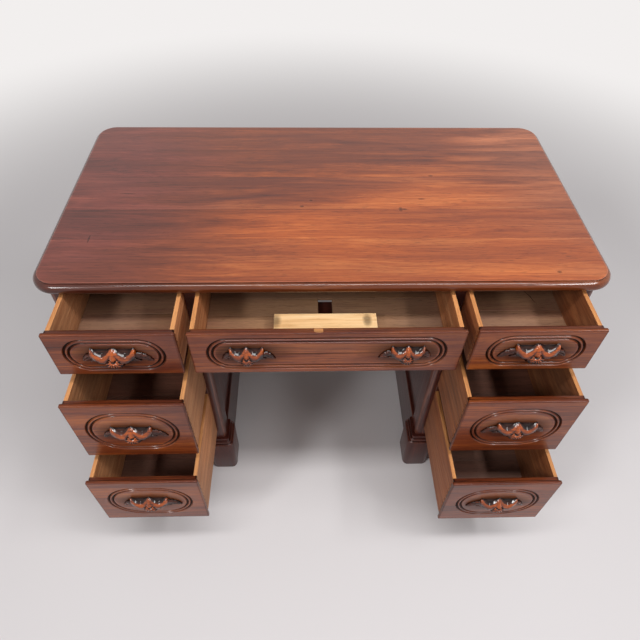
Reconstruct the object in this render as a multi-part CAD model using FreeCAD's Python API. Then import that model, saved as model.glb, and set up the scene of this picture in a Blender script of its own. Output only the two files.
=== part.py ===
import FreeCAD, Part
import math
import os
from FreeCAD import Matrix, Vector

# Kneehole writing desk: a moulded desktop and its frieze with three drawers, standing on two
# pedestals of two drawers each. Millimetres, +Z up, +X to the sitter's right, drawers open to -Y.
# While it is built, Y is zero at the desktop's front edge; keep() moves each piece to the origin.

# Desktop
top_width = 1165.0
top_depth = 605.0
top_thickness = 24.0
top_corner_radius = 50.0
top_field_inset = 10.0
top_field_rise = 2.5
top_edge_round = 11.0
top_under_round = 8.0

# Carcass outline
front_overhang = 20.0
back_overhang = 12.0
side_overhang = 26.5
pedestal_width = 288.5
outer_frame_thickness = 25.5
inner_frame_thickness = 20.5
divider_thickness = 26.0
post_round = 11.0
back_edge_round = 3.0
back_thickness = 22.0

# Rails and drawer openings, each one's own height, from the feet up
bottom_sill_over_feet = 33.5
bottom_opening_height = 187.0
middle_rail_height = 28.5
middle_opening_height = 193.5
pedestal_rail_height = 19.5
frieze_rail_height = 19.5
frieze_opening_height = 112.0
frieze_top_rail_height = 6.5

# Frames and panels
floor_clearance = 4.0
stile_width = 50.0
frame_top_rail = 60.0
panel_rise_over_feet = 7.0
back_stile_width = 45.0
panel_thickness = 7.0
panel_recess = 7.0
panel_tongue = 6.0

# Rails and runners
flat_rail_depth = 70.0
bottom_rail_thickness = 22.0
runner_width = 20.0
runner_height = 19.5

# Blocks glued in the corner of the desktop and the frieze's back, their places in the centre bay
fixing_block_length = 60.0
fixing_block_side = 20.0
fixing_block_shares = (-0.6, 0.0, 0.6)

# Feet
foot_width = 71.5
foot_depth = 86.0
foot_block_height = 129.0
foot_bead_height = 10.0
foot_neck_height = 12.0
foot_bead_inset = 5.0
foot_neck_inset = 10.0
foot_reach = 17.0
foot_front_reach = 16.0
foot_round = 15.0
foot_edge_round = 4.0

# Drawers
lip_overlap = 4.5
lip_side_overlap = 2.5
lip_thickness = 8.6
rebate_thickness = 10.0
side_clearance = 1.0
run_clearance = 0.4
drawer_length = 520.0
side_thickness = 8.5
side_drop = 2.0
drawer_back_thickness = 11.0
drawer_back_drop = 8.0
bottom_thickness = 6.0
bottom_rise = 7.0
groove_depth = 3.5
scallop_radius = 8.0
scallop_pitch = 20.0
scallop_clearance = 0.1

# How far each drawer stands open
top_left_open = 112.2
centre_open = 112.0
top_right_open = 111.2
middle_left_open = 169.1
middle_right_open = 171.4
bottom_left_open = 227.8
bottom_right_open = 244.9

# Double groove round each drawer front
oval_length = 196.0
oval_end = 54.0
top_oval_margin = 12.0
tall_oval_margin = 26.0
centre_oval_margin = 30.0
short_oval_end = 47.0
groove_width = 6.0
groove_bead = 3.0
groove_cut = 2.6

# Carved pulls
side_pull_width = 132.0
side_pull_height = 52.0
side_pull_reach = 24.0
centre_pull_width = 100.0
centre_pull_height = 44.0
centre_pull_reach = 22.0
centre_pull_spacing = 312.0
pull_leaf_thickness = 7.0

# Batten and old lock slot in the centre drawer
batten_length = 216.0
batten_depth = 56.0
batten_thickness = 24.0
batten_setback = 47.0
slot_width = 31.0
slot_depth = 50.0
slot_offset = 1.6
slot_setback = 119.0

# Cuts run past the wood by this much, and edges are found to within this much
overrun = 1.0
match_gap = 0.1

# Heights above the floor, worked out from the sizes above
foot_height = foot_block_height + foot_bead_height + foot_neck_height
panel_low = foot_height + panel_rise_over_feet
bottom_opening_sill = foot_height + bottom_sill_over_feet
bottom_opening_head = bottom_opening_sill + bottom_opening_height
middle_opening_sill = bottom_opening_head + middle_rail_height
middle_opening_head = middle_opening_sill + middle_opening_height
pedestal_height = middle_opening_head + pedestal_rail_height
panel_high = pedestal_height - frame_top_rail
frieze_opening_sill = pedestal_height + frieze_rail_height
frieze_opening_head = frieze_opening_sill + frieze_opening_height
desktop_under = frieze_opening_head + frieze_top_rail_height
top_height = desktop_under + top_thickness

# Places across and along, worked out the same way
carcass_front = front_overhang
carcass_back = top_depth - back_overhang
back_inside = carcass_back - back_thickness
carcass_half = top_width / 2 - side_overhang
outer_opening = carcass_half - outer_frame_thickness
pedestal_inner = carcass_half - pedestal_width
inner_opening = pedestal_inner + inner_frame_thickness
centre_opening = inner_opening - divider_thickness
rail_back = carcass_front + flat_rail_depth


def block(x0, x1, y0, y1, z0, z1):
    size = (abs(x1 - x0), abs(y1 - y0), abs(z1 - z0))
    corner = Vector(min(x0, x1), min(y0, y1), min(z0, z1))
    return Part.makeBox(*size, corner)


def upright_edges(shape, corners):
    # Vertical edges that stand at the given corners in plan
    found = []
    for edge in shape.Edges:
        a, b = edge.Vertexes[0].Point, edge.Vertexes[-1].Point
        if abs(a.x - b.x) > match_gap or abs(a.y - b.y) > match_gap:
            continue
        for x, y in corners:
            if abs(a.x - x) < match_gap and abs(a.y - y) < match_gap:
                found.append(edge)
    return found


def rounded_slab(x0, x1, y0, y1, z0, z1, radius):
    slab = block(x0, x1, y0, y1, z0, z1)
    return slab.makeFillet(radius, upright_edges(slab, [(x0, y0), (x0, y1), (x1, y0), (x1, y1)]))


def rim_edges(shape, height):
    # All edges that lie flat at one height
    rims = []
    for edge in shape.Edges:
        box = edge.BoundBox
        if abs(box.ZMin - height) < match_gap and abs(box.ZMax - height) < match_gap:
            rims.append(edge)
    return rims


def mirrored(shape):
    return shape.mirror(Vector(0, 0, 0), Vector(1, 0, 0))


# Desktop: a slab with a rounded nosing, and a field that stands a little above it
def make_desktop():
    half = top_width / 2
    slab_top = top_height - top_field_rise
    slab = rounded_slab(-half, half, 0, top_depth, desktop_under, slab_top, top_corner_radius)
    slab = slab.makeFillet(top_edge_round, rim_edges(slab, slab_top))
    slab = slab.makeFillet(top_under_round, rim_edges(slab, desktop_under))
    inset = top_field_inset
    field = rounded_slab(-half + inset, half - inset, inset, top_depth - inset,
                         slab_top - top_field_rise, top_height, top_corner_radius - inset)
    return slab.fuse(field).removeSplitter()


# Feet: a block with rounded corners, a bead and a neck under each post
def make_foot(x0, x1, y0, y1):
    body = rounded_slab(x0, x1, y0, y1, 0, foot_block_height, foot_round)
    body = body.makeFillet(foot_edge_round, rim_edges(body, foot_block_height))
    bead_top = foot_block_height + foot_bead_height
    inset = foot_bead_inset
    bead = rounded_slab(x0 + inset, x1 - inset, y0 + inset, y1 - inset,
                        foot_block_height - foot_bead_height, bead_top, foot_round - inset)
    bead = bead.makeFillet(foot_edge_round, rim_edges(bead, bead_top))
    inset = foot_neck_inset
    neck = rounded_slab(x0 + inset, x1 - inset, y0 + inset, y1 - inset,
                        foot_block_height - foot_bead_height, foot_height, foot_round - inset)
    return body.fuse([bead, neck]).removeSplitter()


def foot_places():
    # Plan corners of the four feet under the right-hand pedestal
    inner_x = pedestal_inner - foot_reach
    outer_x = carcass_half + foot_reach
    front_y = carcass_front - foot_front_reach
    places = []
    for x0, x1 in ((inner_x, inner_x + foot_width), (outer_x - foot_width, outer_x)):
        for y0, y1 in ((front_y, front_y + foot_depth), (carcass_back - foot_depth, carcass_back)):
            places.append((x0, x1, y0, y1))
    return places


def make_feet():
    return [make_foot(*place) for place in foot_places()]


# A frame of two stiles and two rails, and the panel that sits in its grooves, standing along Y.
# The shown face is at show_x, and the frame grows from it towards grow.
def side_frame(show_x, thickness, grow, feet):
    back_x = show_x + grow * thickness
    panel_x = show_x + grow * panel_recess
    panel = block(panel_x, panel_x + grow * panel_thickness,
                  carcass_front + stile_width - panel_tongue, carcass_back - stile_width + panel_tongue,
                  panel_low - panel_tongue, panel_high + panel_tongue)
    front_stile = block(show_x, back_x, carcass_front, carcass_front + stile_width,
                        foot_height, pedestal_height)
    front_stile = front_stile.makeFillet(post_round, upright_edges(front_stile, [(show_x, carcass_front)]))
    back_stile = block(show_x, back_x, carcass_back - stile_width, carcass_back,
                       foot_height, pedestal_height)
    back_stile = back_stile.makeFillet(back_edge_round, upright_edges(back_stile, [(show_x, carcass_back)]))
    rail_start = carcass_front + stile_width
    rail_end = carcass_back - stile_width
    top_rail = block(show_x, back_x, rail_start, rail_end, panel_high, pedestal_height)
    bottom_rail = block(show_x, back_x, rail_start, rail_end, floor_clearance, panel_low)
    bottom_rail = bottom_rail.cut(feet)
    members = [piece.cut(panel) for piece in (front_stile, back_stile, top_rail, bottom_rail)]
    return members, panel


def back_frame(feet):
    x0, x1 = inner_opening, outer_opening
    panel_y = carcass_back - panel_recess
    panel = block(x0 + back_stile_width - panel_tongue, x1 - back_stile_width + panel_tongue,
                  panel_y - panel_thickness, panel_y,
                  panel_low - panel_tongue, panel_high + panel_tongue)
    members = []
    for start, end in ((x0, x0 + back_stile_width), (x1 - back_stile_width, x1)):
        members.append(block(start, end, back_inside, carcass_back, floor_clearance, pedestal_height))
    for low, high in ((floor_clearance, panel_low), (panel_high, pedestal_height)):
        members.append(block(x0 + back_stile_width, x1 - back_stile_width,
                             back_inside, carcass_back, low, high))
    return [piece.cut(feet + [panel]) for piece in members], panel


# Rails across a pedestal's front, between its posts
def front_rails(feet):
    x0, x1 = inner_opening, outer_opening
    top_rail = block(x0, x1, carcass_front, rail_back, middle_opening_head, pedestal_height)
    middle_rail = block(x0, x1, carcass_front, rail_back, bottom_opening_head, middle_opening_sill)
    bottom_rail = block(x0, x1, carcass_front, carcass_front + bottom_rail_thickness,
                        floor_clearance, bottom_opening_sill)
    return [top_rail, middle_rail, bottom_rail.cut(feet)]


# Strips that the drawers run on, with a kicker above the middle drawer
def pedestal_runners():
    strips = []
    for x0, x1 in ((inner_opening, inner_opening + runner_width),
                   (outer_opening - runner_width, outer_opening)):
        strips.append(block(x0, x1, rail_back, back_inside, middle_opening_head, pedestal_height))
        strips.append(block(x0, x1, rail_back, back_inside, bottom_opening_head, middle_opening_sill))
        strips.append(block(x0, x1, carcass_front + bottom_rail_thickness, back_inside,
                            bottom_opening_sill - runner_height, bottom_opening_sill))
    return strips


def frieze_runners():
    strips = []
    inner = (centre_opening - runner_width, inner_opening + runner_width)
    outer = (outer_opening - runner_width, outer_opening)
    for x0, x1 in (inner, outer):
        strip = block(x0, x1, rail_back, back_inside, pedestal_height, frieze_opening_sill)
        strips += [strip, mirrored(strip)]
    return strips


def frieze_top_rail():
    return block(-outer_opening, outer_opening, carcass_front, rail_back, frieze_opening_head, desktop_under)


def frieze_bottom_rail():
    return block(-outer_opening, outer_opening, carcass_front, rail_back,
                 pedestal_height, frieze_opening_sill)


def frieze_ends():
    end = block(outer_opening, carcass_half, carcass_front, carcass_back, pedestal_height, desktop_under)
    end = end.makeFillet(post_round, upright_edges(end, [(carcass_half, carcass_front)]))
    end = end.makeFillet(back_edge_round, upright_edges(end, [(carcass_half, carcass_back)]))
    return [end, mirrored(end)]


def frieze_dividers():
    divider = block(centre_opening, inner_opening, carcass_front, back_inside,
                    frieze_opening_sill, desktop_under)
    divider = divider.cut(frieze_top_rail())
    return [divider, mirrored(divider)]


def frieze_back():
    return block(-outer_opening, outer_opening, back_inside, carcass_back, pedestal_height, desktop_under)


def top_fixing_blocks():
    side_bay = (inner_opening + outer_opening) / 2
    middles = [share * centre_opening for share in fixing_block_shares]
    blocks = []
    for middle in [-side_bay] + middles + [side_bay]:
        blocks.append(block(middle - fixing_block_length / 2, middle + fixing_block_length / 2,
                            back_inside - fixing_block_side, back_inside,
                            desktop_under - fixing_block_side, desktop_under))
    return blocks


# Ring with straight sides and half-ellipse ends, cut into a drawer front as a groove
def oval_outline(middle_x, middle_z, half_length, half_height, end, y):
    def half_ellipse(side):
        centre = Vector(middle_x + side * (half_length - end), y, middle_z)
        top = centre + Vector(0, 0, half_height)
        tip = centre + Vector(side * end, 0, 0)
        if half_height >= end:
            return Part.Arc(Part.Ellipse(top, tip, centre), 0, math.pi).toShape()
        return Part.Arc(Part.Ellipse(tip, top, centre), -math.pi / 2, math.pi / 2).toShape()

    right, left = half_ellipse(1), half_ellipse(-1)
    straight = half_length - end
    top_line = Part.makeLine(Vector(middle_x - straight, y, middle_z + half_height),
                             Vector(middle_x + straight, y, middle_z + half_height))
    low_line = Part.makeLine(Vector(middle_x - straight, y, middle_z - half_height),
                             Vector(middle_x + straight, y, middle_z - half_height))
    edges = Part.sortEdges([right, left, top_line, low_line])[0]
    return Part.Face(Part.Wire(edges))


def oval_grooves(middle_x, middle_z, half_length, half_height, end, face_y):
    rings = []
    for inset in (0, groove_width + groove_bead):
        outer = oval_outline(middle_x, middle_z, half_length - inset, half_height - inset,
                             end - inset, face_y - overrun)
        inner_inset = inset + groove_width
        inner = oval_outline(middle_x, middle_z, half_length - inner_inset, half_height - inner_inset,
                             end - inner_inset, face_y - overrun)
        rings.append(outer.cut(inner).extrude(Vector(0, groove_cut + overrun, 0)))
    return rings


# Carved pulls: shares of the pull's width, height and reach, seen from the front.
# Each rounded mass has its centre and half sizes across, forward and up. The centres stand a
# little off the front, so that no mass is cut exactly along its middle.
pull_lobe_shares = ((0.205, 0.05, 0.10), (0.185, 0.60, 0.30))
pull_scoop_shares = ((0.225, 0.52, 0.40), (0.125, 0.42, 0.22))
pull_nose_shares = ((0.0, 0.03, 0.08), (0.060, 0.97, 0.42))
pull_cluster_shares = ((0.0, 0.04, -0.22), (0.125, 0.78, 0.28))
pull_short_leaf_shares = (0.06, 0.41, 0.20, -0.10)
pull_long_leaf_shares = (0.06, 0.59, 0.19, -0.10)


def ellipsoid(centre, halves):
    ball = Part.makeSphere(1)
    scale = Matrix()
    scale.A11, scale.A22, scale.A33 = halves
    ball = ball.transformGeometry(scale)
    ball.translate(centre)
    return ball


def leaf(x0, x1, half_height, middle_z):
    # Pointed leaf between two arcs, lying flat on the front
    middle_x = (x0 + x1) / 2
    left, right = Vector(x0, 0, middle_z), Vector(x1, 0, middle_z)
    upper = Part.Arc(left, Vector(middle_x, 0, middle_z + half_height), right).toShape()
    lower = Part.Arc(right, Vector(middle_x, 0, middle_z - half_height), left).toShape()
    return Part.Face(Part.Wire([upper, lower])).extrude(Vector(0, -pull_leaf_thickness, 0))


# One pull, standing at zero on a front that faces -Y, with its longer leaf towards +X
def make_pull(width, height, reach):
    def mass(shares, side=1):
        place, halves = shares
        centre = Vector(side * place[0] * width, -place[1] * reach, place[2] * height)
        return ellipsoid(centre, (halves[0] * width, halves[1] * reach, halves[2] * height))

    def flat_leaf(shares, side):
        start, end, half, rise = shares
        ends = sorted((side * start * width, side * end * width))
        return leaf(*ends, half * height, rise * height)

    # Each mass is cut at the drawer front before it is joined on
    behind = block(-width, width, 0, reach + overrun, -height, height)
    body = mass(pull_nose_shares).cut(behind)
    for piece in (mass(pull_lobe_shares), mass(pull_lobe_shares, -1), mass(pull_cluster_shares)):
        body = body.fuse(piece.cut(behind))
    body = body.fuse(flat_leaf(pull_long_leaf_shares, 1))
    body = body.fuse(flat_leaf(pull_short_leaf_shares, -1))
    for side in (1, -1):
        body = body.cut(mass(pull_scoop_shares, side))
    return body


side_pull = make_pull(side_pull_width, side_pull_height, side_pull_reach)
centre_pull = make_pull(centre_pull_width, centre_pull_height, centre_pull_reach)


# Places that a drawer shares with what is fitted in it
def front_back_of(opened):
    return carcass_front - opened + rebate_thickness


def floor_of(sill):
    return sill + run_clearance + bottom_rise + bottom_thickness


# One drawer. x0 and x1 are the opening's edges, sill and head its heights.
def make_drawer(x0, x1, sill, head, opened, oval, pulls):
    front_back, bottom_high = front_back_of(opened), floor_of(sill)
    lip_back = front_back - rebate_thickness
    face_y = lip_back - lip_thickness
    rear = lip_back + drawer_length
    box_x0, box_x1 = x0 + side_clearance, x1 - side_clearance
    low = sill + run_clearance
    high = head - side_clearance
    side_top = high - side_drop
    bottom_low = bottom_high - bottom_thickness

    lip = block(x0 - lip_side_overlap, x1 + lip_side_overlap, face_y, lip_back,
                sill - lip_overlap, head + lip_overlap)
    front = lip.fuse(block(box_x0, box_x1, lip_back, front_back, low, high)).removeSplitter()
    margin, end, groove_length = oval
    half_height = (head - sill) / 2 + lip_overlap - margin
    middle_x, middle_z = (x0 + x1) / 2, (sill + head) / 2
    for ring in oval_grooves(middle_x, middle_z, groove_length / 2, half_height, end, face_y):
        front = front.cut(ring)

    # Sides, with scalloped ends let into the front
    count = int((side_top - low) / scallop_pitch)
    first = (low + side_top) / 2 - (count - 1) / 2 * scallop_pitch
    sides, pockets = [], []
    for edge, inward in ((box_x0, 1), (box_x1, -1)):
        start = min(edge, edge + inward * side_thickness)
        side = block(start, start + side_thickness, front_back, rear, low, side_top)
        discs = []
        for n in range(count):
            centre = Vector(start, front_back, first + n * scallop_pitch)
            along = Vector(1, 0, 0)
            discs.append(Part.makeCylinder(scallop_radius, side_thickness, centre, along))
            start_cut = centre - Vector(scallop_clearance, 0, 0)
            pockets.append(Part.makeCylinder(scallop_radius + scallop_clearance,
                                             side_thickness + 2 * scallop_clearance, start_cut, along))
        side = side.fuse(discs).removeSplitter()
        groove = block(edge + inward * (side_thickness - groove_depth),
                       edge + inward * (side_thickness + overrun),
                       front_back - scallop_radius - overrun, rear + overrun, bottom_low, bottom_high)
        sides.append(side.cut(groove))
    front = front.cut(pockets)

    inside_x0, inside_x1 = box_x0 + side_thickness, box_x1 - side_thickness
    bottom = block(inside_x0 - groove_depth, inside_x1 + groove_depth,
                   front_back, rear, bottom_low, bottom_high)
    back = block(inside_x0, inside_x1, rear - drawer_back_thickness, rear,
                 bottom_high, side_top - drawer_back_drop)
    knobs = []
    for offset, pull in pulls:
        knob = pull.copy()
        knob.translate(Vector(middle_x + offset, face_y, middle_z))
        knobs.append(knob)
    return {"front": [front], "sides": sides, "bottom": [bottom], "back": [back], "pull": knobs}


# Batten screwed to the centre drawer's bottom, and a slot cut through it
def fit_centre_drawer(parts):
    front_back, floor = front_back_of(centre_open), floor_of(frieze_opening_sill)
    start = front_back + batten_setback
    batten = block(-batten_length / 2, batten_length / 2, start, start + batten_depth,
                   floor, floor + batten_thickness)
    slot_y = front_back + slot_setback
    slot = block(slot_offset - slot_width / 2, slot_offset + slot_width / 2, slot_y, slot_y + slot_depth,
                 floor - bottom_thickness - overrun, floor + overrun)
    parts["bottom"] = [parts["bottom"][0].cut(slot)]
    parts["batten"] = [batten]


# The groove of each kind of front: its margin, the length of its rounded end and its own length
top_oval = (top_oval_margin, short_oval_end, oval_length)
tall_oval = (tall_oval_margin, oval_end, oval_length)
centre_oval = (top_oval_margin, short_oval_end, 2 * (centre_opening + lip_side_overlap - centre_oval_margin))
frieze_opening = (frieze_opening_sill, frieze_opening_head)
middle_opening = (middle_opening_sill, middle_opening_head)
bottom_opening = (bottom_opening_sill, bottom_opening_head)

# Every side drawer: which side it is on, its opening, how far it stands open and its groove
drawers = (
    ("top_left", -1, frieze_opening, top_left_open, top_oval),
    ("top_right", 1, frieze_opening, top_right_open, top_oval),
    ("middle_left", -1, middle_opening, middle_left_open, tall_oval),
    ("middle_right", 1, middle_opening, middle_right_open, tall_oval),
    ("bottom_left", -1, bottom_opening, bottom_left_open, tall_oval),
    ("bottom_right", 1, bottom_opening, bottom_right_open, tall_oval),
)

# The origin is on the floor, in the middle of the whole outline with the drawers as they stand
furthest_pull = side_pull_reach + lip_thickness + max(row[3] for row in drawers) - carcass_front
origin_y = (top_depth - furthest_pull) / 2

os.makedirs("parts", exist_ok=True)


def keep(node, solids):
    shape = solids[0] if len(solids) == 1 else Part.makeCompound(solids)
    shape = shape.copy()
    shape.translate(Vector(0, -origin_y, 0))
    for solid in shape.Solids:
        if not solid.isValid():
            print("not valid:", node)
    print(node, len(shape.Solids), "solids", round(shape.Volume / 1000), "cm3")
    shape.exportStep("parts/" + node + ".step")


keep("desktop", [make_desktop()])
keep("frieze_ends", frieze_ends())
keep("frieze_dividers", frieze_dividers())
keep("frieze_back", [frieze_back()])
keep("frieze_top_rail", [frieze_top_rail()])
keep("frieze_bottom_rail", [frieze_bottom_rail()])
keep("frieze_runners", frieze_runners())
keep("top_fixing_blocks", top_fixing_blocks())

right_feet = make_feet()
outer_frame, outer_panel = side_frame(carcass_half, outer_frame_thickness, -1, right_feet)
inner_frame, inner_panel = side_frame(pedestal_inner, inner_frame_thickness, 1, right_feet)
rear_frame, rear_panel = back_frame(right_feet)
pedestal = {
    "outer_frame": outer_frame,
    "outer_panel": [outer_panel],
    "inner_frame": inner_frame,
    "inner_panel": [inner_panel],
    "front_rails": front_rails(right_feet),
    "feet": right_feet,
    "drawer_runners": pedestal_runners(),
}
for name, solids in pedestal.items():
    keep("right_" + name, solids)
    keep("left_" + name, [mirrored(solid) for solid in solids])
keep("pedestal_back_frames", rear_frame + [mirrored(solid) for solid in rear_frame])
keep("pedestal_back_panels", [rear_panel, mirrored(rear_panel)])

built = {}
for name, side, opening, opened, oval in drawers:
    x0, x1 = sorted((side * inner_opening, side * outer_opening))
    pull = side_pull if side < 0 else mirrored(side_pull)
    built[name] = make_drawer(x0, x1, *opening, opened, oval, [(0, pull)])
spread = centre_pull_spacing / 2
built["centre"] = make_drawer(-centre_opening, centre_opening, *frieze_opening, centre_open, centre_oval,
                              [(-spread, centre_pull), (spread, mirrored(centre_pull))])
fit_centre_drawer(built["centre"])
for name, parts in built.items():
    for piece, solids in parts.items():
        keep(name + "_drawer_" + piece, solids)
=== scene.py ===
import math
import random
from functools import partial

import bmesh
import bpy
import numpy as np
from mathutils import Matrix, Vector


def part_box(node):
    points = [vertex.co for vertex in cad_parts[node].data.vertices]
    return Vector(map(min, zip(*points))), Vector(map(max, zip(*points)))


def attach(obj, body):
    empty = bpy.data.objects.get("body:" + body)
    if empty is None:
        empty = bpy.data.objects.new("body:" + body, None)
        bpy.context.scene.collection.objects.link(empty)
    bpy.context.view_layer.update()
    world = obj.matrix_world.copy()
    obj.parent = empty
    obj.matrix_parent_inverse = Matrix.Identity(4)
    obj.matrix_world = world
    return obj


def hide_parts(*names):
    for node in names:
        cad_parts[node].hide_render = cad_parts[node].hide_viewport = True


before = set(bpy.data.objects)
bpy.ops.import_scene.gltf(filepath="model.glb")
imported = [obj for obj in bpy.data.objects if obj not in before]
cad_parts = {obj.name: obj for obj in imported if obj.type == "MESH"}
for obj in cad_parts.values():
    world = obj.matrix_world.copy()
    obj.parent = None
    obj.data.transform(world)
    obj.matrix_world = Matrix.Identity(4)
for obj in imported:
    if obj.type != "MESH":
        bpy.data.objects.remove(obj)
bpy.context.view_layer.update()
print("frame loaded")

# Shapes are drawn in millimetres, and become metres when a piece is finished
mm = 0.001
wide, deep, tall = 0, 1, 2          # the part's X, Y and Z
sideSign = {"left": -1, "right": 1}
drawerNames = ["top_left", "centre", "top_right", "middle_left", "middle_right",
               "bottom_left", "bottom_right"]


# A node's box in millimetres, as (low, high) along each of the three axes
def cadMm(node):
    return [(low / mm, high / mm) for low, high in zip(*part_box(node))]


def halfOf(span):
    return (span[1] - span[0]) / 2


def middleOf(span):
    return (span[0] + span[1]) / 2


def makeObject(name, data):
    piece = bpy.data.objects.new(name, data)
    bpy.context.scene.collection.objects.link(piece)
    return piece


# Materials

def toLinear(hexColour):
    channels = [int(hexColour[n:n + 2], 16) / 255 for n in (1, 3, 5)]
    return [c / 12.92 if c <= 0.04045 else ((c + 0.055) / 1.055) ** 2.4 for c in channels] + [1.0]


# Adds a node and gives back one of its outputs. An input takes an output or a value, and a
# ramp takes its stops as their places and their hex colours or greys.
def addNode(tree, kind, inputs=None, output=0, stops=(), **settings):
    node = tree.nodes.new(kind)
    for name, value in settings.items():
        setattr(node, name, value)
    for key, value in (inputs or {}).items():
        if isinstance(value, bpy.types.NodeSocket):
            tree.links.new(value, node.inputs[key])
        else:
            node.inputs[key].default_value = value
    if stops:
        elements = node.color_ramp.elements
        while len(elements) < len(stops[0]):
            elements.new(0.5)
        for element, place, colour in zip(elements, *stops):
            element.position = place
            element.color = toLinear(colour) if isinstance(colour, str) else [colour] * 3 + [1.0]
    return node.outputs[output] if len(node.outputs) else None


# An empty material, and addNode for its tree
def newMaterial(name):
    material = bpy.data.materials.new(name)
    material.use_nodes = True
    material.node_tree.nodes.clear()
    return material, partial(addNode, material.node_tree)


# How near a place is to a centre: 1 there, 0 at the reach, both in millimetres
def nearness(add, place, centre, reach):
    away = add("ShaderNodeVectorMath", {0: place, 1: [c * mm for c in centre]}, operation="SUBTRACT")
    scaled = add("ShaderNodeVectorMath", {0: away, 1: [1 / (r * mm) for r in reach]},
                 operation="MULTIPLY")
    far = add("ShaderNodeVectorMath", {0: scaled}, "Value", operation="LENGTH")
    return add("ShaderNodeMath", {0: 1.0, 1: far}, operation="SUBTRACT")


# How the marks of every wood are blended. A fade is (where it starts, where it ends).
blendLook = {
    "boardShift": (1.7, 0.6, 0.9), "boardTones": (-1.3, 1.5), "seamGrime": 0.35,
    "streakShare": 0.45, "paintedLightBreak": 1.2, "paintedLightFade": (0.45, 1.15), "patchFade": (0.38, 0.66),
    "poreFade": (0.30, 0.43), "wearAndGlowFade": (0.22, 0.62), "wearAndGlowAmount": 0.85,
    "stainFade": (0.06, 0.34), "stainAmount": 0.62, "grimeAndShadeFade": (0.05, 0.9), "grimeAndShadeAmount": 0.94,
    "roughSpan": (-0.05, 0.07), "roughFade": (0.3, 0.7),
    "reliefShare": 0.35, "relief": 0.3,      # of the streaks, and how high in millimetres
}
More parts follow.
